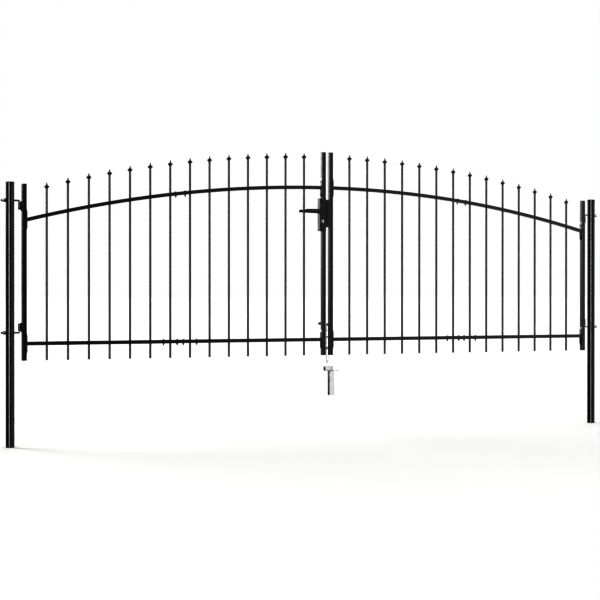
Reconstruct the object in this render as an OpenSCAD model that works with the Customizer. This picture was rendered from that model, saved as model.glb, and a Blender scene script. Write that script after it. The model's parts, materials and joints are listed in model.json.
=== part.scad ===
/* [Posts] */
// Distance between the two post axes
post_spacing = 3952; // [3600:1:4400]
// Outside diameter of a post tube
post_d = 48; // [42:1:60]
// Wall of a post tube
post_wall = 2; // [1.5:0.1:3]
// Length of a post with its cap, foot to top
post_len = 1500; // [1450:1:1700]
// Diameter of the post cap's rim
post_cap_d = 51; // [48.5:0.5:70]
// Height of the post cap's rim above the tube
post_cap_t = 6; // [4:0.5:10]

/* [Hinges] */
// Distance from the post's top down to the upper hook bolt
upper_hook_drop = 104; // [90:1:170]
// Distance between the upper and the lower hook bolt
hook_spread = 748; // [700:1:760]
// Diameter of the hook bolts
hook_d = 10; // [8:0.5:11]
// Distance from the post axis to the hinge pin
pin_x = 55; // [50:1:70]
// Bend radius of a hook, along its centre line
hook_bend = 9; // [7:0.5:12]
// Length of the hook bolt outside the post axis
hook_tail = 52; // [50:1:70]
// Outside diameter of a hinge eye's barrel
eye_d = 17; // [16:0.5:18]
// Length of a hinge eye's barrel
eye_len = 42; // [30:1:50]
// Height of the eye's plate where it is welded to the stile
eye_plate_h = 66; // [55:1:80]
// Distance from the hinge pin to the stile
eye_reach = 10; // [9.5:0.5:16]
// Width across the flats of the hook nuts
nut_af = 17; // [15:0.5:19]
// Thickness of a hook nut
nut_t = 8.4; // [6:0.2:10]

/* [Leaf frame] */
// Outside width of a square stile
stile_w = 25; // [22:0.5:32]
// Wall of a stile
stile_wall = 1.5; // [1:0.1:2.5]
// Outside corner radius of a stile
stile_r = 3; // [2.6:0.1:5]
// Thickness of the caps at the ends of a stile
stile_cap_t = 3; // [2:0.5:6]
// Distance from the post's top down to the leaf's lower edge
leaf_drop = 1010; // [980:1:1040]
// Length of the hinge stile
hinge_stile_len = 1000; // [980:1:1100]
// Length of the lock stile
lock_stile_len = 1250; // [1200:1:1400]
// Gap between the two lock stiles
meeting_gap = 24; // [24:0.5:40]

/* [Panels] */
// Outside width of a square rail
rail_w = 20; // [18:0.5:22]
// Wall of a rail
rail_wall = 1.5; // [1:0.1:2.5]
// Height of the lower rail's centre line above the leaf's lower edge
lower_rail_rise = 96; // [80:1:150]
// Radius of the arch that both upper rails follow
arch_r = 7690; // [7000:10:9000]
// Height of the arch's centre line over the leaf's lower edge, in the middle of the gate
arch_rise = 1032; // [1010:1:1070]
// Diameter of the round pickets
picket_d = 12; // [10:0.5:14]
// Number of pickets in each half of a leaf
pickets_per_half = 7; // [4:1:9]
// Distance from a stile's centre line to the nearest picket
picket_margin = 131; // [110:1:150]
// Radius of the curve through the spear points
tip_r = 6880; // [6000:10:9000]
// Height of the spear points over the arch, in the middle of the gate
tip_rise = 211; // [120:1:240]
// Height of a spear point above its picket
spear_h = 37; // [30:1:50]
// Width of a spear point
spear_w = 29; // [22:0.5:36]
// Thickness of a spear point at its shoulders
spear_t = 8; // [5:0.5:10]
// Length of the sleeves that join the two halves of a rail
sleeve_len = 96; // [60:1:104]
// Height of the plates that carry the rail ends
bracket_h = 118; // [90:1:140]
// Thickness of the plates that carry the rail ends
bracket_t = 4; // [3:0.5:8]
// Width of the plates that carry the rail ends
bracket_w = 23; // [20:0.5:25]

/* [Lock] */
// Height of the lock case
case_h = 202; // [180:1:220]
// Height of the lock case's lower end above the leaf's lower edge
case_rise = 764; // [740:1:772]
// How far the case stands out beside the lock stile
case_side = 18; // [17.5:0.5:26]
// Thickness of the case in front of the stile
case_front = 3; // [2:0.5:8]
// Thickness of the case behind the stile
case_back = 4; // [2:0.5:8]
// Height of the lever's axis above the lock case's lower end
lever_rise = 124; // [110:1:136]
// Length of a lever from its axis
lever_len = 123; // [90:1:140]
// Height of a lever's grip at its root
lever_h = 22; // [18:0.5:28]
// Thickness of a lever's grip
lever_t = 11; // [8:0.5:14]
// Distance from the case to a lever's grip
lever_gap = 24; // [18:0.5:40]
// Distance from the lever's axis down to the key's axis
key_drop = 65; // [58:1:80]
// Diameter of the lock cylinder
cylinder_d = 13; // [12:0.5:14]
// Diameter of the key's bow
key_bow_d = 22; // [16:0.5:28]
// Height of the keeper on the right leaf
keeper_h = 168; // [140:1:180]
// Clear space between the keeper and the left leaf
keeper_clear = 5; // [4:0.5:8]
// Height of the keeper's two slots
slot_h = 36; // [28:1:44]
// Width of the keeper's two slots
slot_w = 15; // [12:0.5:18]
// Depth of the keeper's two slots
slot_depth = 13; // [8:0.5:14]

/* [Drop bolt] */
// Diameter of the drop bolt's rod
bolt_d = 12; // [10:0.5:12]
// Distance of the raised rod's lower end below the leaf's lower edge
bolt_tip_drop = 47; // [35:1:60]
// Height of the raised handle's centre line above the leaf's lower edge
bolt_handle_rise = 193; // [190:1:250]
// Length of the handle behind the rod
bolt_handle_len = 118; // [90:1:140]
// Diameter of the handle's grip
grip_d = 17; // [15:0.5:20]
// Length of the handle's grip
grip_len = 80; // [50:1:85]
// Thickness of the upper guide plate
guide_t = 5; // [4:0.5:8]
// Height of the lower guide ring
ring_h = 9; // [6:0.5:16]
// Outside diameter of the lower guide ring
ring_d = 18; // [17:0.5:18.5]

/* [Ground socket] */
// Width of the socket plate along the gate
plate_w = 64; // [60:1:90]
// Depth of the socket plate across the gate
plate_depth = 82; // [70:1:110]
// Thickness of the socket's sheet
plate_t = 4; // [3:0.5:5]
// Distance of the socket plate's upper face below the leaf's lower edge
plate_drop = 93; // [90:1:110]
// Height of the socket's back stop above its plate
stop_h = 23; // [15:1:24]
// Depth of the socket's side wing
wing_depth = 30; // [20:1:50]
// Width of the square hole for the drop bolt
socket_hole_w = 16; // [15:0.5:20]
// Width of the socket's leg
leg_w = 33; // [25:1:45]
// Depth of the socket's leg
leg_depth = 26; // [20:1:40]
// Length of the socket's leg
leg_len = 150; // [100:1:250]

/* [Hidden] */
$fn = 64;
// Facets of the large circles that only the arch uses
arch_fn = 1440;
// Play of a bolt in a drilled hole, on the diameter
hole_play = 0.4;
// Play of a hinge pin in its eye, on the diameter
pin_play = 0.2;
// Space left between two parts that only rest on each other
seat_gap = 0.2;
// Room between a sleeve and the tube it slides into, on each side
sleeve_gap = 0.3;
// Overlap of cutting tools past a face
over = 1;

// Middle of the gate, where the leaves meet
mid_x = post_spacing / 2;
upper_hook_z = post_len - upper_hook_drop;
lower_hook_z = upper_hook_z - hook_spread;
leaf_bottom_z = post_len - leaf_drop;
lower_rail_z = leaf_bottom_z + lower_rail_rise;
arch_top_z = leaf_bottom_z + arch_rise;
tip_top_z = arch_top_z + tip_rise;
// The stiles' back faces lie in the plane of the hinge pins
leaf_y = -stile_w / 2;
hinge_face_x = pin_x + eye_reach;
hinge_stile_x = hinge_face_x + stile_w / 2;
lock_face_x = mid_x - meeting_gap / 2;
lock_stile_x = lock_face_x - stile_w / 2;

// Rails run between the plates on the two stiles and are split half-way
rail_x0 = hinge_stile_x + stile_w / 2 + bracket_t;
rail_x1 = lock_stile_x - stile_w / 2 - bracket_t;
split_x = (rail_x0 + rail_x1) / 2;
split_gap = 0.6;
picket_count = 2 * pickets_per_half;
picket_pitch = (lock_stile_x - hinge_stile_x - 2 * picket_margin) / (picket_count - 1);
arch_z = arch_top_z - arch_r;

post_bore = post_d - 2 * post_wall;
cap_plug_h = 18;
cap_chamfer = 2;
pin_len = eye_len + 5;
nut_gap = 0.3;
eye_plate_t = 7;
eye_plate_y = -10;

case_z = leaf_bottom_z + case_rise;
lever_z = case_z + lever_rise;
key_z = lever_z - key_drop;
case_x0 = lock_stile_x - stile_w / 2 - case_side;
case_w = lock_face_x - case_x0;
case_y0 = leaf_y - stile_w / 2 - case_front;
case_d = stile_w + case_front + case_back;
case_r = 2;
case_gap = 0.15;
// Distance of the lever's and the key's axes from the case's free edge
backset = 11;
lever_x = case_x0 + backset;
spindle_d = 9;
neck_d = 15;
plate_overhang = 2.5;
face_w = 20;
// How far the face plates reach below the key's axis and above the lever's axis
face_below = 24;
face_above = 52;
face_low = key_z - face_below;
face_high = lever_z + face_above;
plug_d = 10;
key_t = 2;
key_blade_h = 7.4;
key_slot_gap = 0.2;
key_len = 20;
cylinder_stand = 3;
keeper_x0 = lock_face_x + keeper_clear;
keeper_x1 = lock_face_x + meeting_gap;
// Distance from the lever's axis down to the middle of the keeper
keeper_drop = 15;
keeper_z = lever_z - keeper_drop - keeper_h / 2;

bolt_x = keeper_x1 - ring_d / 2 - seat_gap;
bolt_tip_z = leaf_bottom_z - bolt_tip_drop;
bolt_handle_z = leaf_bottom_z + bolt_handle_rise;
bolt_bend = 16;
bolt_point_h = 5;
// Heights of the two guides over the leaf's lower edge
guide_plate_rise = 108;
guide_ring_rise = 38;
ring_web_w = 10;
plate_z = leaf_bottom_z - plate_drop;
// The socket hole lies below the drop bolt: its distances from the stop's and the wing's outer faces
hole_to_stop = 17;
hole_to_wing = 17.5;
socket_y1 = leaf_y + hole_to_stop;
socket_x0 = bolt_x - hole_to_wing;

// Colours of the finishes
black_paint = [0.05, 0.05, 0.055];
black_plastic = [0.08, 0.08, 0.085];
zinc = [0.72, 0.73, 0.74];
nickel = [0.62, 0.61, 0.58];

// Centre height of the arch at x
function arch_at(x) = arch_z + sqrt(arch_r * arch_r - (x - mid_x) * (x - mid_x));
// Height of the spear points' curve at x
function tip_at(x) = tip_top_z - tip_r + sqrt(tip_r * tip_r - (x - mid_x) * (x - mid_x));
// Place of a picket, counted from the hinge stile
function picket_x(i) = hinge_stile_x + picket_margin + i * picket_pitch;
// Centre heights of the two rails at x
function rail_heights(x) = [lower_rail_z, arch_at(x)];

// The right half of the gate mirrors the left one
module on_right() {
    translate([post_spacing, 0, 0]) mirror([1, 0, 0]) children();
}

// Stands an outline drawn in x and z upright, centred on y
module upright(y, t) {
    translate([0, y + t / 2, 0]) rotate([90, 0, 0]) linear_extrude(t) children();
}

module rounded_square(w, r) {
    square([w - 2 * r, w], center = true);
    square([w, w - 2 * r], center = true);
    for (sx = [-1, 1], sy = [-1, 1])
        translate([sx * (w / 2 - r), sy * (w / 2 - r)]) circle(r);
}

module rounded_box(size, r) {
    linear_extrude(size[2]) {
        translate([r, 0]) square([size[0] - 2 * r, size[1]]);
        translate([0, r]) square([size[0], size[1] - 2 * r]);
        for (cx = [r, size[0] - r], cy = [r, size[1] - r])
            translate([cx, cy]) circle(r);
    }
}

// A round bar along y from y0 to y1
module bar_y(d, y0, y1) {
    translate([0, y0, 0]) rotate([-90, 0, 0]) cylinder(d = d, h = y1 - y0);
}

module post() {
    difference() {
        cylinder(d = post_d, h = post_len - post_cap_t);
        translate([0, 0, -over]) cylinder(d = post_bore, h = post_len);
        for (z = [lower_hook_z, upper_hook_z])
            translate([0, 0, z]) rotate([0, 90, 0])
                cylinder(d = hook_d + hole_play, h = post_d + 2 * over, center = true);
    }
}

module post_cap() {
    translate([0, 0, post_len - post_cap_t]) {
        cylinder(d = post_cap_d, h = post_cap_t - cap_chamfer);
        translate([0, 0, post_cap_t - cap_chamfer])
            cylinder(d1 = post_cap_d, d2 = post_cap_d - 2 * cap_chamfer, h = cap_chamfer);
        difference() {
            translate([0, 0, -cap_plug_h]) cylinder(d = post_bore - hole_play, h = cap_plug_h);
            translate([0, 0, -cap_plug_h - over])
                cylinder(d = post_bore - hole_play - 2 * post_wall, h = cap_plug_h + over);
        }
    }
}

// Hook bolt through the post: its pin points up for turn 1 and down for turn -1
module hinge_hook(z, turn) {
    translate([0, 0, z]) {
        translate([-hook_tail, 0, 0]) rotate([0, 90, 0])
            cylinder(d = hook_d, h = hook_tail + pin_x - hook_bend);
        translate([pin_x - hook_bend, 0, turn * hook_bend]) rotate([90, 0, 0])
            rotate([0, 0, turn > 0 ? -90 : 0])
                rotate_extrude(angle = 90) translate([hook_bend, 0]) circle(d = hook_d);
        translate([pin_x, 0, turn > 0 ? hook_bend : -hook_bend - pin_len])
            cylinder(d = hook_d, h = pin_len);
    }
}

// Two nuts lock each hook bolt against the outside of the post
module hinge_nuts() {
    for (z = [lower_hook_z, upper_hook_z], i = [0, 1])
        translate([-post_d / 2 - seat_gap - nut_t - i * (nut_t + nut_gap), 0, z])
            rotate([0, 90, 0]) difference() {
                cylinder(d = nut_af / cos(30), h = nut_t, $fn = 6);
                translate([0, 0, -over]) cylinder(d = hook_d + pin_play, h = nut_t + 2 * over);
            }
}

// Outline of the eye's plate in x and z: it flares in hollow curves from the barrel to the stile
module eye_plate_outline() {
    flare = (eye_plate_h - eye_len) / 2;
    difference() {
        translate([pin_x, -eye_plate_h / 2]) square([eye_reach, eye_plate_h]);
        for (side = [-1, 1])
            translate([pin_x, side * eye_plate_h / 2]) scale([eye_reach / flare, 1]) circle(r = flare);
    }
}

// Barrel that turns on the hook's pin, with the plate that welds it to the stile
module hinge_eye(z, turn) {
    z0 = turn > 0 ? z + hook_bend + seat_gap : z - hook_bend - seat_gap - eye_len;
    difference() {
        union() {
            translate([pin_x, 0, z0]) cylinder(d = eye_d, h = eye_len);
            upright(eye_plate_y + eye_plate_t / 2, eye_plate_t)
                translate([0, z0 + eye_len / 2]) eye_plate_outline();
        }
        translate([pin_x, 0, z0 - over]) cylinder(d = hook_d + pin_play, h = eye_len + 2 * over);
    }
}

module stile(x, len) {
    translate([x, leaf_y, leaf_bottom_z + stile_cap_t])
        linear_extrude(len - 2 * stile_cap_t) difference() {
            rounded_square(stile_w, stile_r);
            rounded_square(stile_w - 2 * stile_wall, stile_r - stile_wall);
        }
}

// Plastic cap over the end of a stile, with its plug inside the tube
module stile_cap(x, z, up) {
    plug_w = stile_w - 2 * stile_wall - 2 * seat_gap;
    translate([x, leaf_y, z]) mirror([0, 0, up ? 0 : 1]) {
        linear_extrude(stile_cap_t) rounded_square(stile_w, stile_r);
        translate([0, 0, -cap_plug_h]) linear_extrude(cap_plug_h) difference() {
            rounded_square(plug_w, stile_r - stile_wall);
            rounded_square(plug_w - 2 * stile_wall, (stile_r - stile_wall) / 2);
        }
    }
}

module stile_caps() {
    for (s = [[hinge_stile_x, hinge_stile_len], [lock_stile_x, lock_stile_len]]) {
        stile_cap(s[0], leaf_bottom_z + stile_cap_t, false);
        stile_cap(s[0], leaf_bottom_z + s[1] - stile_cap_t, true);
    }
}

// Band of the arch between x0 and x1, of the given height
module arch_band(x0, x1, w) {
    intersection() {
        translate([mid_x, arch_z]) difference() {
            circle(r = arch_r + w / 2, $fn = arch_fn);
            circle(r = arch_r - w / 2, $fn = arch_fn);
        }
        translate([x0, lower_rail_z]) square([x1 - x0, arch_top_z + w - lower_rail_z]);
    }
}

module flat_band(x0, x1, w) {
    translate([x0, lower_rail_z - w / 2]) square([x1 - x0, w]);
}

// Both rails of a leaf as square bars of width w
module rail_bars(x0, x1, w) {
    upright(leaf_y, w) arch_band(x0, x1, w);
    upright(leaf_y, w) flat_band(x0, x1, w);
}

// Half of a leaf: two tube rails with the pickets welded through them
module half_panel(x0, x1, first) {
    difference() {
        rail_bars(x0, x1, rail_w);
        rail_bars(x0 - over, x1 + over, rail_w - 2 * rail_wall);
    }
    for (i = [first : first + pickets_per_half - 1])
        translate([picket_x(i), leaf_y, leaf_bottom_z])
            cylinder(d = picket_d, h = tip_at(picket_x(i)) - spear_h - leaf_bottom_z);
}

module outer_panel() {
    half_panel(rail_x0, split_x - split_gap / 2, 0);
}

module inner_panel() {
    half_panel(split_x + split_gap / 2, rail_x1, pickets_per_half);
}

module splice_sleeves() {
    rail_bars(split_x - sleeve_len / 2, split_x + sleeve_len / 2,
        rail_w - 2 * rail_wall - 2 * sleeve_gap);
}

// Outline of a spear point seen from the front, standing on z = 0
module spear_front() {
    neck = picket_d * 0.42;
    shoulder_z = spear_h * 0.36;
    polygon([
        [-neck, 0], [neck, 0], [neck, spear_h * 0.1],
        [spear_w / 2, shoulder_z - 1], [spear_w / 2, shoulder_z + 1],
        [neck, spear_h * 0.56], [1, spear_h],
        [-1, spear_h], [-neck, spear_h * 0.56],
        [-spear_w / 2, shoulder_z + 1], [-spear_w / 2, shoulder_z - 1], [-neck, spear_h * 0.1]
    ]);
}

// Outline of a spear point seen from the side
module spear_side() {
    neck = picket_d * 0.42;
    polygon([
        [-neck, 0], [neck, 0], [spear_t / 2, spear_h * 0.3], [spear_t / 2, spear_h * 0.5],
        [1, spear_h], [-1, spear_h], [-spear_t / 2, spear_h * 0.5], [-spear_t / 2, spear_h * 0.3]
    ]);
}

// A pressed spear point: its front and side outlines meet in one solid
module spear_tip() {
    intersection() {
        upright(0, 2 * picket_d) spear_front();
        rotate([0, 0, 90]) upright(0, 2 * spear_w) spear_side();
    }
}

module spear_tips() {
    for (i = [0 : picket_count - 1])
        translate([picket_x(i), leaf_y, tip_at(picket_x(i)) - spear_h]) spear_tip();
}

// Plate on a stile that carries a rail end, thick towards side 1 or -1 along x
module rail_bracket(x, z, side) {
    slope = 4 * bracket_t;
    upright(leaf_y, bracket_w) translate([x, z]) polygon([
        [0, -bracket_h / 2], [side * bracket_t, -bracket_h / 2 + slope],
        [side * bracket_t, bracket_h / 2 - slope], [0, bracket_h / 2]
    ]);
}

module hinge_stile_brackets() {
    for (z = rail_heights(rail_x0))
        rail_bracket(rail_x0 - bracket_t, z, 1);
}

module lock_stile_brackets() {
    for (z = rail_heights(rail_x1))
        rail_bracket(rail_x1 + bracket_t, z, -1);
}

// Case wrapped round the lock stile, open on the meeting side
module lock_case_body() {
    stile_slot = stile_w + 2 * case_gap;
    difference() {
        translate([case_x0, case_y0, case_z]) rounded_box([case_w, case_d, case_h], case_r);
        translate([lock_stile_x - stile_slot / 2, leaf_y - stile_slot / 2, case_z - over])
            cube([stile_slot + over, stile_slot, case_h + 2 * over]);
        translate([lever_x, 0, lever_z])
            bar_y(spindle_d + hole_play, case_y0 - over, case_y0 + case_d + over);
        translate([lever_x, 0, key_z])
            bar_y(cylinder_d + hole_play, case_y0 - over, case_y0 + case_d + over);
    }
}

// Long face plate with round ends, drilled for the lever's neck and the cylinder
module face_plate(y) {
    upright(y, plate_overhang) difference() {
        union() {
            translate([lever_x - face_w / 2, face_low + face_w / 2])
                square([face_w, face_high - face_low - face_w]);
            for (z = [face_low + face_w / 2, face_high - face_w / 2])
                translate([lever_x, z]) circle(d = face_w);
        }
        translate([lever_x, lever_z]) circle(d = neck_d + hole_play);
        translate([lever_x, key_z]) circle(d = cylinder_d + hole_play);
    }
}

module face_plates() {
    face_plate(case_y0 - plate_overhang / 2);
    face_plate(case_y0 + case_d + plate_overhang / 2);
}

module cylinder_body() {
    y0 = case_y0 - plate_overhang - cylinder_stand;
    y1 = case_y0 + case_d + plate_overhang + cylinder_stand;
    translate([lever_x, 0, key_z]) difference() {
        bar_y(cylinder_d, y0, y1);
        bar_y(plug_d + pin_play, y0 - over, y1 + over);
    }
}

// Outline of a lever's grip, pointing to -x from its axis
module lever_outline() {
    tip_d = lever_h * 0.72;
    circle(d = lever_h);
    translate([-lever_len + tip_d / 2, 0]) circle(d = tip_d);
    polygon([
        [0, lever_h / 2], [-lever_len + tip_d / 2, tip_d / 2],
        [-lever_len + tip_d / 2, -tip_d / 2], [0, -lever_h / 2]
    ]);
}

// Front lever with its neck and the spindle that passes through the case
module lever_front() {
    grip_y = case_y0 - lever_gap - lever_t / 2;
    translate([lever_x, 0, lever_z]) {
        upright(grip_y, lever_t) lever_outline();
        bar_y(neck_d, grip_y, case_y0 - seat_gap);
        bar_y(spindle_d, case_y0 - over, case_y0 + case_d + lever_gap / 2);
    }
}

// Back lever, socketed over the end of the spindle
module lever_back() {
    grip_y = case_y0 + case_d + lever_gap + lever_t / 2;
    translate([lever_x, 0, lever_z]) difference() {
        union() {
            upright(grip_y, lever_t) lever_outline();
            bar_y(neck_d, case_y0 + case_d + seat_gap, grip_y);
        }
        bar_y(spindle_d + pin_play, case_y0, case_y0 + case_d + lever_gap / 2);
    }
}

// Plug that turns inside the lock cylinder, slotted for the key
module plug() {
    y0 = case_y0 - plate_overhang - cylinder_stand;
    y1 = case_y0 + case_d + plate_overhang + cylinder_stand;
    translate([lever_x, 0, key_z]) difference() {
        bar_y(plug_d, y0, y1);
        translate([0, y0 + key_len / 2 - over, 0])
            cube([key_t + 2 * key_slot_gap, key_len + over, key_blade_h + 2 * key_slot_gap], center = true);
    }
}

// Flat key in the plug, with a round bow outside
module key() {
    y0 = case_y0 - plate_overhang - cylinder_stand;
    neck = 8;
    bow_y = y0 - neck - key_bow_d / 2;
    translate([lever_x, 0, key_z]) {
        translate([-key_t / 2, bow_y, -key_blade_h / 2])
            cube([key_t, y0 - bow_y + key_len - neck, key_blade_h]);
        rotate([0, 90, 0]) translate([0, bow_y, -key_t / 2]) linear_extrude(key_t)
            circle(d = key_bow_d);
    }
}

// Keeper that fills the meeting gap beside the lock case, slotted for the latch and the bolt
module keeper() {
    difference() {
        translate([keeper_x0, case_y0, keeper_z])
            rounded_box([keeper_x1 - keeper_x0, case_d, keeper_h], case_r);
        for (z = [lever_z, key_z])
            translate([keeper_x0 - over, leaf_y - slot_w / 2, z - slot_h / 2])
                cube([slot_depth + over, slot_w, slot_h]);
    }
}

// Guides of the drop bolt on the lock stile: a flat plate above and a ring below
module bolt_guides() {
    hole_d = bolt_d + hole_play;
    plate_x0 = bolt_x - ring_d / 2;
    translate([plate_x0, leaf_y - stile_w / 2, leaf_bottom_z + guide_plate_rise]) difference() {
        cube([keeper_x1 - plate_x0, stile_w, guide_t]);
        translate([ring_d / 2, stile_w / 2, -over]) cylinder(d = hole_d, h = guide_t + 2 * over);
    }
    translate([bolt_x, leaf_y, leaf_bottom_z + guide_ring_rise]) difference() {
        union() {
            cylinder(d = ring_d, h = ring_h);
            translate([0, -ring_web_w / 2, 0]) cube([keeper_x1 - bolt_x, ring_web_w, ring_h]);
        }
        translate([0, 0, -over]) cylinder(d = hole_d, h = ring_h + 2 * over);
    }
}

// Rod with a blunt point below and a handle bent straight back at the top
module bolt_rod() {
    handle_y = leaf_y + bolt_bend;
    straight = bolt_handle_z - bolt_bend;
    translate([bolt_x, leaf_y, 0]) {
        translate([0, 0, bolt_tip_z]) cylinder(d1 = bolt_d / 2, d2 = bolt_d, h = bolt_point_h);
        translate([0, 0, bolt_tip_z + bolt_point_h])
            cylinder(d = bolt_d, h = straight - bolt_tip_z - bolt_point_h);
        translate([0, bolt_bend, straight]) rotate([0, -90, 0]) rotate([0, 0, -90])
            rotate_extrude(angle = 90) translate([bolt_bend, 0]) circle(d = bolt_d);
    }
    translate([bolt_x, 0, bolt_handle_z])
        bar_y(bolt_d, handle_y, leaf_y + bolt_handle_len - bolt_point_h);
}

// Sleeve pushed over the end of the drop bolt's handle
module bolt_grip() {
    y1 = leaf_y + bolt_handle_len;
    translate([bolt_x, 0, bolt_handle_z]) difference() {
        bar_y(grip_d, y1 - grip_len, y1);
        bar_y(bolt_d + pin_play, y1 - grip_len - over, y1 - bolt_point_h + seat_gap);
    }
}

// Sheet socket for the drop bolt: plate, back stop and slanted side wing
module socket_plate() {
    stop_z = plate_z + stop_h;
    difference() {
        union() {
            translate([socket_x0, socket_y1 - plate_depth, plate_z - plate_t])
                cube([plate_w, plate_depth, plate_t]);
            translate([socket_x0, socket_y1 - plate_t, plate_z - plate_t])
                cube([plate_w, plate_t, stop_z - plate_z + plate_t]);
            translate([socket_x0, 0, 0]) rotate([90, 0, 90]) linear_extrude(plate_t) polygon([
                [socket_y1, plate_z - plate_t], [socket_y1, stop_z],
                [socket_y1 - wing_depth / 2, stop_z], [socket_y1 - wing_depth, plate_z - plate_t]
            ]);
        }
        translate([bolt_x, leaf_y, plate_z - plate_t / 2])
            cube([socket_hole_w, socket_hole_w, plate_t + 2 * over], center = true);
    }
}

module socket_leg() {
    translate([socket_x0 + plate_w / 2, socket_y1 - plate_depth / 2, plate_z - plate_t - leg_len / 2])
        difference() {
            cube([leg_w, leg_depth, leg_len], center = true);
            cube([leg_w - 2 * plate_t, leg_depth - 2 * plate_t, leg_len + 2 * over], center = true);
        }
}

module left_post() { color(black_paint) post(); }
module right_post() { color(black_paint) on_right() post(); }
module left_post_cap() { color(black_plastic) post_cap(); }
module right_post_cap() { color(black_plastic) on_right() post_cap(); }
module left_upper_hinge_hook() { color(zinc) hinge_hook(upper_hook_z, -1); }
module left_lower_hinge_hook() { color(zinc) hinge_hook(lower_hook_z, 1); }
module right_upper_hinge_hook() { color(zinc) on_right() hinge_hook(upper_hook_z, -1); }
module right_lower_hinge_hook() { color(zinc) on_right() hinge_hook(lower_hook_z, 1); }
module left_hinge_nuts() { color(zinc) hinge_nuts(); }
module right_hinge_nuts() { color(zinc) on_right() hinge_nuts(); }
module ground_socket_plate() { color(zinc) socket_plate(); }
module ground_socket_leg() { color(zinc) socket_leg(); }

module left_hinge_stile() { color(black_paint) stile(hinge_stile_x, hinge_stile_len); }
module left_lock_stile() { color(black_paint) stile(lock_stile_x, lock_stile_len); }
module left_stile_caps() { color(black_plastic) stile_caps(); }
module left_outer_panel() { color(black_paint) outer_panel(); }
module left_inner_panel() { color(black_paint) inner_panel(); }
module left_splice_sleeves() { color(black_paint) splice_sleeves(); }
module left_spear_tips() { color(black_paint) spear_tips(); }
module left_hinge_stile_brackets() { color(black_paint) hinge_stile_brackets(); }
module left_lock_stile_brackets() { color(black_paint) lock_stile_brackets(); }
module left_upper_hinge_eye() { color(black_paint) hinge_eye(upper_hook_z, -1); }
module left_lower_hinge_eye() { color(black_paint) hinge_eye(lower_hook_z, 1); }

module lock_case() { color(black_paint) lock_case_body(); }
module lock_face_plates() { color(black_plastic) face_plates(); }
module lock_cylinder() { color(nickel) cylinder_body(); }
module front_lever() { color(black_plastic) lever_front(); }
module back_lever() { color(black_plastic) lever_back(); }
module lock_plug() { color(nickel) plug(); }
module lock_key() { color(nickel) key(); }

module right_hinge_stile() { color(black_paint) on_right() stile(hinge_stile_x, hinge_stile_len); }
module right_lock_stile() { color(black_paint) on_right() stile(lock_stile_x, lock_stile_len); }
module right_stile_caps() { color(black_plastic) on_right() stile_caps(); }
module right_outer_panel() { color(black_paint) on_right() outer_panel(); }
module right_inner_panel() { color(black_paint) on_right() inner_panel(); }
module right_splice_sleeves() { color(black_paint) on_right() splice_sleeves(); }
module right_spear_tips() { color(black_paint) on_right() spear_tips(); }
module right_hinge_stile_brackets() { color(black_paint) on_right() hinge_stile_brackets(); }
module right_lock_stile_brackets() { color(black_paint) on_right() lock_stile_brackets(); }
module right_upper_hinge_eye() { color(black_paint) on_right() hinge_eye(upper_hook_z, -1); }
module right_lower_hinge_eye() { color(black_paint) on_right() hinge_eye(lower_hook_z, 1); }
module lock_keeper() { color(black_paint) keeper(); }
module drop_bolt_guides() { color(black_paint) bolt_guides(); }
module drop_bolt() { color(zinc) bolt_rod(); }
module drop_bolt_grip() { color(black_plastic) bolt_grip(); }

left_post();
right_post();
left_post_cap();
right_post_cap();
left_upper_hinge_hook();
left_lower_hinge_hook();
right_upper_hinge_hook();
right_lower_hinge_hook();
left_hinge_nuts();
right_hinge_nuts();
ground_socket_plate();
ground_socket_leg();
left_hinge_stile();
left_lock_stile();
left_stile_caps();
left_outer_panel();
left_inner_panel();
left_splice_sleeves();
left_spear_tips();
left_hinge_stile_brackets();
left_lock_stile_brackets();
left_upper_hinge_eye();
left_lower_hinge_eye();
lock_case();
lock_face_plates();
lock_cylinder();
front_lever();
back_lever();
lock_plug();
lock_key();
right_hinge_stile();
right_lock_stile();
right_stile_caps();
right_outer_panel();
right_inner_panel();
right_splice_sleeves();
right_spear_tips();
right_hinge_stile_brackets();
right_lock_stile_brackets();
right_upper_hinge_eye();
right_lower_hinge_eye();
lock_keeper();
drop_bolt_guides();
drop_bolt();
drop_bolt_grip();
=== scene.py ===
"""Finishes, fasteners, welds and eased edges of the double driveway gate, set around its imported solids."""

import json
import math

import bmesh
import bpy
from mathutils import Matrix, Vector


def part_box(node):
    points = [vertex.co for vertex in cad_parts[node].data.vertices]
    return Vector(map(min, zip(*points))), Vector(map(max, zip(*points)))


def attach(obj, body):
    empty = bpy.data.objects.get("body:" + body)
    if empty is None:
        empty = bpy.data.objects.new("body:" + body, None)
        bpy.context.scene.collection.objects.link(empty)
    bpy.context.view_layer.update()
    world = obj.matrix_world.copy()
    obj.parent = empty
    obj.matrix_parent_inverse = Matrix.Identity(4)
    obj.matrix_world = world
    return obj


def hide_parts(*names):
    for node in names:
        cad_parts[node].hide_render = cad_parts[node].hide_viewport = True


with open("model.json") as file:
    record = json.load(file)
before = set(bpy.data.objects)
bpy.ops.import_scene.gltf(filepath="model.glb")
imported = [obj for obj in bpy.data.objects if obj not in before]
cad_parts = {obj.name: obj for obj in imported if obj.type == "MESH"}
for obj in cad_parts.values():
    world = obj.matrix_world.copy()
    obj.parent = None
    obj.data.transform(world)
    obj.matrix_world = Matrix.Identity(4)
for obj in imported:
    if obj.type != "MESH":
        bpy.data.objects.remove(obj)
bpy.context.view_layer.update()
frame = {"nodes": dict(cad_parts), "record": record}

MM = 0.001

# Sizes of the gate's repeated members, as built
PICKETS_PER_LEAF = 14
PICKET_R = 6 * MM
RAIL_W = 20 * MM
ARCH_R = 7690 * MM
SPEAR_W = 29 * MM
BRACKET_H = 118 * MM
HOOK_R = 5 * MM
NUT_ACROSS = 17 * MM
NUT_T = 8.4 * MM
NUT_GAP = 0.3 * MM

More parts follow.
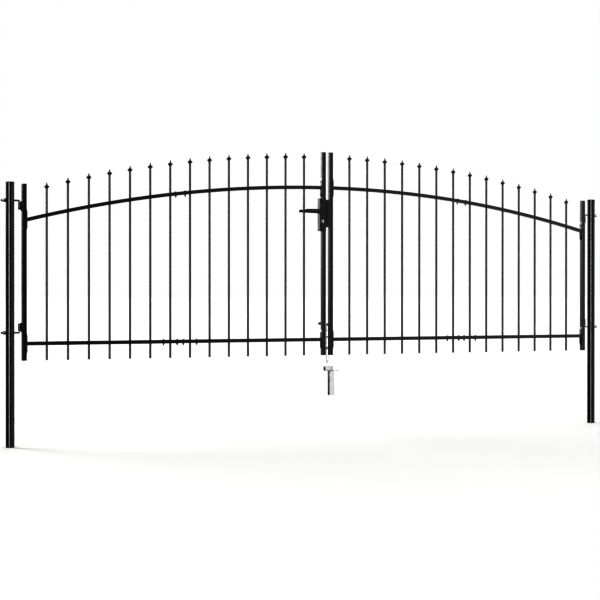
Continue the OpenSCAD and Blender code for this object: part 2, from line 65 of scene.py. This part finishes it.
# Places of the bolts, from the middle of the joint or plate that they hold
UPPER_SPLICE_BOLTS = (-29.5 * MM, 29.5 * MM)
LOWER_SPLICE_BOLTS = (-104 * MM, -19.5 * MM, 19.5 * MM, 104 * MM)
PLATE_BOLTS = (-37 * MM, 37 * MM)

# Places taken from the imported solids
mid_x = (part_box("left_post")[0].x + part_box("right_post")[1].x) / 2
stile_lo, stile_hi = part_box("left_hinge_stile")
leaf_y = (stile_lo.y + stile_hi.y) / 2
split_x = sum(corner.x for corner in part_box("left_splice_sleeves")) / 2
spears_lo, spears_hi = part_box("left_spear_tips")
first_picket_x = spears_lo.x + SPEAR_W / 2
picket_pitch = (spears_hi.x - spears_lo.x - SPEAR_W) / (PICKETS_PER_LEAF - 1)
hinge_plate_lo, hinge_plate_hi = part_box("left_hinge_stile_brackets")
lock_plate_lo, lock_plate_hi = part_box("left_lock_stile_brackets")
lower_rail_z = hinge_plate_lo.z + BRACKET_H / 2
arch_end_z = lock_plate_hi.z - BRACKET_H / 2
arch_centre_z = arch_end_z - math.sqrt(ARCH_R**2 - (lock_plate_lo.x - mid_x)**2)
nuts_lo, nuts_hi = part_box("left_hinge_nuts")
hook_y = (nuts_lo.y + nuts_hi.y) / 2
nut_corner_r = NUT_ACROSS / math.sqrt(3)

slot_of_node = {part["node"]: part["material_slot"] for part in frame["record"]["subparts"]}
bodies = frame["record"]["behaviour"]["bodies"]
body_of_node = {node: name for name, nodes in bodies.items() for node in nodes}


def arch_height(x):
    """Height of the upper rail's centre line at x."""
    return arch_centre_z + math.sqrt(ARCH_R**2 - (x - mid_x)**2)


def arch_slope(x):
    """Angle of the upper rail against the level at x, rising towards +x."""
    return math.asin((mid_x - x) / ARCH_R)


# Finishes

def linear(code):
    """An sRGB hex colour as linear RGBA."""
    shares = [int(code[i:i + 2], 16) / 255 for i in (1, 3, 5)]
    return [s / 12.92 if s <= 0.04045 else ((s + 0.055) / 1.055) ** 2.4 for s in shares] + [1]


def add(tree, kind, inputs, **settings):
    """Adds a node, sets its settings, and links or sets its inputs."""
    node = tree.nodes.new(kind)
    for name, value in settings.items():
        setattr(node, name, value)
    for socket, value in inputs.items():
        if isinstance(value, bpy.types.NodeSocket):
            tree.links.new(value, node.inputs[socket])
        else:
            node.inputs[socket].default_value = value
    return node


def finish_material(name, dark, pale, patch_mm, rough, grain_mm, grain_depth_mm, **surface):
    """A surface with drifting colour and roughness, and a fine grain as bump."""
    material = bpy.data.materials.new(name)
    material.use_nodes = True
    tree = material.node_tree
    tree.nodes.clear()
    place = add(tree, "ShaderNodeTexCoord", {}).outputs["Object"]
    patches = add(tree, "ShaderNodeTexNoise", {"Vector": place, "Scale": 1 / (patch_mm * MM), "Detail": 3})
    colour = add(tree, "ShaderNodeValToRGB", {"Fac": patches.outputs["Fac"]})
    colour.color_ramp.elements[0].position = 0.35
    colour.color_ramp.elements[0].color = linear(dark)
    colour.color_ramp.elements[1].position = 0.65
    colour.color_ramp.elements[1].color = linear(pale)
    gloss = add(tree, "ShaderNodeMapRange", {
        "Value": patches.outputs["Fac"], "From Min": 0.3, "From Max": 0.7,
        "To Min": rough[0], "To Max": rough[1]})
    grain = add(tree, "ShaderNodeTexNoise", {"Vector": place, "Scale": 1 / (grain_mm * MM), "Detail": 2})
    bump = add(tree, "ShaderNodeBump", {
        "Height": grain.outputs["Fac"], "Strength": 1, "Distance": grain_depth_mm * MM})
    shader = add(tree, "ShaderNodeBsdfPrincipled", {
        "Base Color": colour.outputs["Color"], "Roughness": gloss.outputs["Result"],
        "Normal": bump.outputs["Normal"], **surface})
    add(tree, "ShaderNodeOutputMaterial", {"Surface": shader.outputs["BSDF"]})
    return material


# Polyester powder baked on steel tube: satin, with a shallow orange peel. The peel's cells are about
# 2 mm and are drawn at 5 mm, so that they still show in the picture
powder_coat = finish_material(
    "polyester_powder_coat", "#0d0d0e", "#121213", patch_mm=90, rough=(0.27, 0.33),
    grain_mm=5, grain_depth_mm=0.01, IOR=1.5)
# Moulded polyethylene: duller than the paint, with the fine grain of an eroded mould
moulded_plastic = finish_material(
    "moulded_polyethylene", "#111112", "#161617", patch_mm=40, rough=(0.34, 0.42),
    grain_mm=2, grain_depth_mm=0.015, IOR=1.5)
# Electroplated zinc on steel: a little blue, and cloudy where the bath ran off
zinc_plate = finish_material(
    "zinc_plated_steel", "#8c8d8f", "#96979a", patch_mm=60, rough=(0.16, 0.2),
    grain_mm=1.5, grain_depth_mm=0.0005, Metallic=1)
# A paler copy of the zinc plate for the socket's leg, paler than the plate above it: painted sheen, standing
# in for the brighter reflection on the leg's front
paler_zinc_painted_sheen = finish_material(
    "zinc_plate_painted_sheen", "#afb0b2", "#b9babb", patch_mm=25, rough=(0.18, 0.24),
    grain_mm=4, grain_depth_mm=0.002, Metallic=1)
# Nickel on brass, satin
nickel_plate = finish_material(
    "satin_nickel_plate", "#7a7772", "#878480", patch_mm=12, rough=(0.2, 0.28),
    grain_mm=1, grain_depth_mm=0.001, Metallic=1)
# Matt studio paper
floor_paper = finish_material(
    "studio_paper", "#d0d0cf", "#d0d0cf", patch_mm=900, rough=(0.8, 0.9),
    grain_mm=30, grain_depth_mm=0.05)

FINISHES = {
    "black_powder_coat": powder_coat,
    "black_plastic": moulded_plastic,
    "zinc_plate": zinc_plate,
    "nickel_plate": nickel_plate,
}
# Nodes whose finish differs from the rest of their slot; the socket's leg gets the paler zinc with painted
# sheen
NODE_FINISHES = {"ground_socket_leg": paler_zinc_painted_sheen}


# Making of pieces

# Shading shows an edge where faces meet at more than this angle
CREASE_DEG = 32
# The same on a solid whose edges are eased
EASED_CREASE_DEG = 20
# A solid's edges are eased where its faces meet at more than this angle
SHARP_DEG = 28


def turned(profile, steps=24):
    """A shape turned about z from a profile of (radius, height) points."""
    bm = bmesh.new()
    points = [bm.verts.new((r, 0, z)) for r, z in profile]
    edges = [bm.edges.new(pair) for pair in zip(points, points[1:])]
    bmesh.ops.spin(bm, geom=points + edges, cent=(0, 0, 0), axis=(0, 0, 1),
                   angle=2 * math.pi, steps=steps, use_merge=True)
    bmesh.ops.remove_doubles(bm, verts=bm.verts, dist=1e-7)
    return bm


def bead_ring(radius, bead_r):
    """A weld bead run once around a bar."""
    sides = 6
    turn = [2 * math.pi * i / sides for i in range(sides + 1)]
    return turned([(radius + bead_r * math.cos(a), bead_r * math.sin(a)) for a in turn], steps=14)


def hexagon(across, height, chamfer):
    """A hexagon bar end standing on z = 0, its upper corners turned off."""
    bm = bmesh.new()
    bmesh.ops.create_cone(bm, cap_ends=True, segments=6, radius1=across / math.sqrt(3),
                          radius2=across / math.sqrt(3), depth=height,
                          matrix=Matrix.Translation((0, 0, height / 2)))
    rim = [e for e in bm.edges if all(v.co.z > height / 2 for v in e.verts)]
    bmesh.ops.bevel(bm, geom=rim, offset=chamfer, segments=2, profile=0.5, affect="EDGES", material=-1)
    return bm


def thread(radius, depth, pitch, length):
    """A screw thread as a ridge that climbs from z = 0 along the outside of a rod."""
    steps_per_turn = 14
    steps = round(length / pitch * steps_per_turn)
    foot = pitch * 0.9
    bm = bmesh.new()
    ridge = [(radius, 0), (radius + depth, foot / 2), (radius, foot)]
    points = [bm.verts.new((r, 0, z)) for r, z in ridge]
    edges = [bm.edges.new(pair) for pair in zip(points, points[1:])]
    bmesh.ops.spin(bm, geom=points + edges, cent=(0, 0, 0), axis=(0, 0, 1),
                   dvec=(0, 0, pitch / steps_per_turn),
                   angle=2 * math.pi * steps / steps_per_turn, steps=steps)
    return bm


def stamp(target, shape, place, free=True):
    """Copies a shape into the target mesh at a place, and frees it unless it is needed again."""
    mesh = bpy.data.meshes.new("stamp")
    shape.to_mesh(mesh)
    mesh.transform(place)
    target.from_mesh(mesh)
    bpy.data.meshes.remove(mesh)
    if free:
        shape.free()


def mirrored(bm):
    """Turns a piece of the left leaf or post into the right one."""
    bmesh.ops.scale(bm, vec=(-1, 1, 1), space=Matrix.Translation((-mid_x, 0, 0)), verts=bm.verts)
    return bm


def piece(name, bm, body, slot, *nodes, crease=CREASE_DEG, finish=None):
    """Makes a mesh into a piece that rides on a body, with its finish and the nodes it stands for."""
    bmesh.ops.recalc_face_normals(bm, faces=bm.faces)
    mesh = bpy.data.meshes.new(name)
    bm.to_mesh(mesh)
    bm.free()
    mesh.shade_smooth()
    mesh.set_sharp_from_angle(angle=math.radians(crease))
    mesh.materials.append(finish or FINISHES[slot])
    made = bpy.data.objects.new(name, mesh)
    bpy.context.scene.collection.objects.link(made)
    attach(made, body)
    if nodes:
        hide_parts(*nodes)
    return made


def eased(node, width_mm, segments=2):
    """The node's own solid with its sharp edges rounded."""
    bm = bmesh.new()
    bm.from_mesh(frame["nodes"][node].data)
    bmesh.ops.remove_doubles(bm, verts=bm.verts, dist=1e-6)
    bmesh.ops.dissolve_limit(bm, angle_limit=math.radians(1), verts=bm.verts, edges=bm.edges)
    sharp = [e for e in bm.edges if e.is_manifold and e.calc_face_angle() > math.radians(SHARP_DEG)]
    bmesh.ops.bevel(bm, geom=sharp, offset=width_mm * MM, segments=segments, profile=0.5,
                    affect="EDGES", material=-1, clamp_overlap=True)
    return piece(f"{node}_eased", bm, body_of_node[node], slot_of_node[node], node,
                 crease=EASED_CREASE_DEG, finish=NODE_FINISHES.get(node))


def along(point, direction):
    """A place at a point whose z runs along a direction."""
    return Matrix.Translation(point) @ Vector(direction).to_track_quat("Z", "Y").to_matrix().to_4x4()


def on_both_leaves(name, make, slot):
    """A piece for the left leaf and its mirror image for the right one."""
    piece(f"left_{name}", make(), "left_leaf", slot)
    piece(f"right_{name}", mirrored(make()), "right_leaf", slot)


# Welds and fasteners of the leaves

def picket_welds():
    """Beads above and below each rail where a picket passes through it."""
    bm = bmesh.new()
    bead_r = 1.3 * MM
    stand_off = 0.2 * MM
    bead = bead_ring(PICKET_R + stand_off, bead_r)
    for i in range(PICKETS_PER_LEAF):
        x = first_picket_x + i * picket_pitch
        lift = RAIL_W / 2 / math.cos(arch_slope(x))
        for side in (-1, 1):
            stamp(bm, bead, Matrix.Translation((x, leaf_y, lower_rail_z + side * RAIL_W / 2)), free=False)
            upper = Matrix.Translation((x, leaf_y, arch_height(x) + side * lift))
            stamp(bm, bead, upper @ Matrix.Rotation(-arch_slope(x), 4, "Y"), free=False)
    bead.free()
    return bm


def splice_bolts():
    """Bolts through the joints of the half rails, heads above and nuts below."""
    across = 10 * MM
    chamfer = 0.6 * MM
    head_t = 4 * MM
    nut_t = 5 * MM
    rod_r = 2.6 * MM
    rod_len = 13 * MM
    tip_chamfer = (0.4 * MM, 0.6 * MM)
    thread_start = 5.2 * MM
    bm = bmesh.new()
    places = [(offset, arch_height(split_x + offset), -arch_slope(split_x + offset))
              for offset in UPPER_SPLICE_BOLTS]
    places += [(offset, lower_rail_z, 0) for offset in LOWER_SPLICE_BOLTS]
    for offset, height, tilt in places:
        place = Matrix.Translation((split_x + offset, leaf_y, height)) @ Matrix.Rotation(tilt, 4, "Y")
        top = place @ Matrix.Translation((0, 0, RAIL_W / 2))
        below = place @ Matrix.Translation((0, 0, -RAIL_W / 2)) @ Matrix.Rotation(math.pi, 4, "X")
        stamp(bm, hexagon(across, head_t, chamfer), top)
        stamp(bm, hexagon(across, nut_t, chamfer), below)
        rod = [(0, 0), (rod_r, 0), (rod_r, rod_len - tip_chamfer[1]),
               (rod_r - tip_chamfer[0], rod_len), (0, rod_len)]
        stamp(bm, turned(rod, steps=14), below)
        ridge = thread(rod_r, depth=0.4 * MM, pitch=1 * MM, length=6 * MM)
        stamp(bm, ridge, below @ Matrix.Translation((0, 0, thread_start)))
    return bm


def plate_bolts():
    """Low round heads of the bolts that hold the rail plates to the stiles, above and below each rail."""
    bm = bmesh.new()
    head_mm = [(0, 0), (6, 0), (6, 0.4), (5, 1.1), (3, 1.5), (0, 1.6)]
    head = [(r * MM, z * MM) for r, z in head_mm]
    for x, side, lo, hi in ((hinge_plate_hi.x, 1, hinge_plate_lo, hinge_plate_hi),
                            (lock_plate_lo.x, -1, lock_plate_lo, lock_plate_hi)):
        for z in (lo.z + BRACKET_H / 2, hi.z - BRACKET_H / 2):
            for offset in PLATE_BOLTS:
                stamp(bm, turned(head), along((x, leaf_y, z + offset), (side, 0, 0)))
    return bm


on_both_leaves("picket_welds", picket_welds, "black_powder_coat")
on_both_leaves("splice_bolts", splice_bolts, "black_powder_coat")
on_both_leaves("plate_bolts", plate_bolts, "black_powder_coat")


# Hook bolts' threads and nuts on the posts

def hook_nuts():
    """Chamfered nuts in place of the plain ones."""
    chamfer = 1.1 * MM
    bm = bmesh.new()
    for z in (nuts_lo.z + nut_corner_r, nuts_hi.z - nut_corner_r):
        for x in (nuts_hi.x, nuts_hi.x - NUT_T - NUT_GAP):
            stamp(bm, hexagon(NUT_ACROSS, NUT_T, chamfer), along((x, hook_y, z), (-1, 0, 0)))
    return bm


def hook_threads():
    """Threads on the hook bolts' free ends."""
    plain_end = 1.2 * MM
    bm = bmesh.new()
    for node in ("left_upper_hinge_hook", "left_lower_hinge_hook"):
        lo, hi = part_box(node)
        z = hi.z - HOOK_R if "upper" in node else lo.z + HOOK_R
        ridge = thread(HOOK_R, depth=0.5 * MM, pitch=1.5 * MM, length=nuts_lo.x - lo.x - plain_end)
        stamp(bm, ridge, along((nuts_lo.x, hook_y, z), (-1, 0, 0)))
    return bm


piece("left_hinge_nuts_turned", hook_nuts(), "posts", "zinc_plate", "left_hinge_nuts")
piece("right_hinge_nuts_turned", mirrored(hook_nuts()), "posts", "zinc_plate", "right_hinge_nuts")
piece("left_hook_threads", hook_threads(), "posts", "zinc_plate")
piece("right_hook_threads", mirrored(hook_threads()), "posts", "zinc_plate")


# Drop bolt's grip

def ribbed_grip():
    """Sleeve with round ribs over its length and a domed end."""
    lo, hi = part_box("drop_bolt_grip")
    radius = (hi.x - lo.x) / 2
    length = hi.y - lo.y
    bore_r = 6.1 * MM
    ribs = 9
    rib_depth = 0.8 * MM
    plain_start = 4 * MM
    plain_end = 10 * MM
    rib_pitch = (length - plain_start - plain_end) / ribs
    crest_start = rib_pitch * 0.3
    crest_end = rib_pitch * 0.7
    # Mouth and dome as steps in from the full radius and along from their end of the grip
    mouth_mm = [(1, 0), (0.2, 0.8)]
    dome_mm = [(0, 8), (0, 4), (1.6, 1.2), (4, 0.1)]
    profile = [(bore_r, 0)]
    profile += [(radius - inset * MM, step * MM) for inset, step in mouth_mm]
    for i in range(ribs):
        start = plain_start + i * rib_pitch
        profile += [(radius - rib_depth, start), (radius, start + crest_start),
                    (radius, start + crest_end), (radius - rib_depth, start + rib_pitch)]
    profile += [(radius - inset * MM, length - step * MM) for inset, step in dome_mm]
    profile += [(0, length)]
    mouth_centre = ((lo.x + hi.x) / 2, lo.y, (lo.z + hi.z) / 2)
    bm = bmesh.new()
    stamp(bm, turned(profile, steps=28), along(mouth_centre, (0, 1, 0)))
    return bm


piece("drop_bolt_grip_ribbed", ribbed_grip(), "drop_bolt", "black_plastic", "drop_bolt_grip")


# Edges of the solids, rounded by millimetres
EASED = {
    "left_post_cap": 1.2, "right_post_cap": 1.2, "left_stile_caps": 0.8, "right_stile_caps": 0.8,
    "left_hinge_stile_brackets": 0.8, "left_lock_stile_brackets": 0.8,
    "right_hinge_stile_brackets": 0.8, "right_lock_stile_brackets": 0.8,
    "left_upper_hinge_eye": 0.8, "left_lower_hinge_eye": 0.8,
    "right_upper_hinge_eye": 0.8, "right_lower_hinge_eye": 0.8,
    "left_spear_tips": 0.5, "right_spear_tips": 0.5,
    "lock_case": 0.8, "lock_face_plates": 0.8, "lock_cylinder": 0.5, "lock_keeper": 0.8,
    "drop_bolt_guides": 0.6, "ground_socket_plate": 0.8, "ground_socket_leg": 0.8,
    "lock_plug": 0.3, "lock_key": 0.4,
}
# The levers are moulded for the hand, and much rounder
LEVERS_EASED = {"front_lever": 2.6, "back_lever": 2.6}
for node, width in EASED.items():
    eased(node, width)
for node, width in LEVERS_EASED.items():
    eased(node, width, segments=4)

for node, part in frame["nodes"].items():
    part.data.materials.clear()
    part.data.materials.append(NODE_FINISHES.get(node, FINISHES[slot_of_node[node]]))


# Studio

def studio_floor():
    """A wide sheet of pale paper under the posts' feet."""
    half_width = 300
    bm = bmesh.new()
    bmesh.ops.create_grid(bm, x_segments=1, y_segments=1, size=half_width)
    mesh = bpy.data.meshes.new("floor")
    bm.to_mesh(mesh)
    bm.free()
    mesh.materials.append(floor_paper)
    floor = bpy.data.objects.new("floor", mesh)
    bpy.context.scene.collection.objects.link(floor)
    floor.visible_glossy = False


# Light from everywhere, and soft panels around the gate, each with its direction, the cosine at its
# faded rim, the cosine at its full core and its strength
FILL_LIGHT = 0.03
PANELS = {
    "ceiling": ((0, 0, 1), 0.1, 0.8, 1.0),
    "back_left": ((-0.48, 0.8, 0.36), 0.925, 0.97, 11.0),
    "front_right": ((0.75, -0.66, 0.1), 0.8, 0.97, 2.7),
    "front_left_strip": ((-0.6, -0.8, 0.05), 0.968, 0.988, 28.0),
    "back_right": ((0.6, 0.8, 0.15), 0.7, 0.95, 2.0),
}


def studio_light():
    """A white backdrop for the camera, and soft panels for everything else."""
    world = bpy.data.worlds.new("studio")
    bpy.context.scene.world = world
    world.use_nodes = True
    tree = world.node_tree
    tree.nodes.clear()
    direction = add(tree, "ShaderNodeTexCoord", {}).outputs["Generated"]
    total = FILL_LIGHT
    for heading, rim, core, strength in PANELS.values():
        facing = add(tree, "ShaderNodeVectorMath",
                     {0: direction, 1: Vector(heading).normalized()}, operation="DOT_PRODUCT")
        panel = add(tree, "ShaderNodeMapRange", {
            "Value": facing.outputs["Value"], "From Min": rim, "From Max": core, "To Max": strength},
            interpolation_type="SMOOTHSTEP")
        total = add(tree, "ShaderNodeMath", {0: panel.outputs["Result"], 1: total}).outputs["Value"]
    panels = add(tree, "ShaderNodeBackground", {"Color": linear("#ffffff"), "Strength": total})
    backdrop = add(tree, "ShaderNodeBackground", {"Color": linear("#ffffff"), "Strength": 1})
    seen = add(tree, "ShaderNodeLightPath", {}).outputs["Is Camera Ray"]
    mixed = add(tree, "ShaderNodeMixShader",
                {0: seen, 1: panels.outputs["Background"], 2: backdrop.outputs["Background"]})
    add(tree, "ShaderNodeOutputWorld", {"Surface": mixed.outputs["Shader"]})


def studio_camera():
    """The photograph's view: a long lens, level, a little above the posts' middle, from the left."""
    camera = bpy.data.objects.new("camera", bpy.data.cameras.new("camera"))
    camera.data.sensor_width = 36
    camera.data.lens = 90.6
    camera.location = (-2.047, -8.437, 0.870)
    camera.rotation_euler = (math.radians(89.75), 0, math.radians(-24.508))
    bpy.context.scene.collection.objects.link(camera)
    bpy.context.scene.camera = camera


studio_floor()
studio_light()
studio_camera()
bpy.context.scene.view_settings.view_transform = "Standard"
# The photograph's contrast is steep: its blacks stay black down to single bars
bpy.context.scene.view_settings.gamma = 0.5
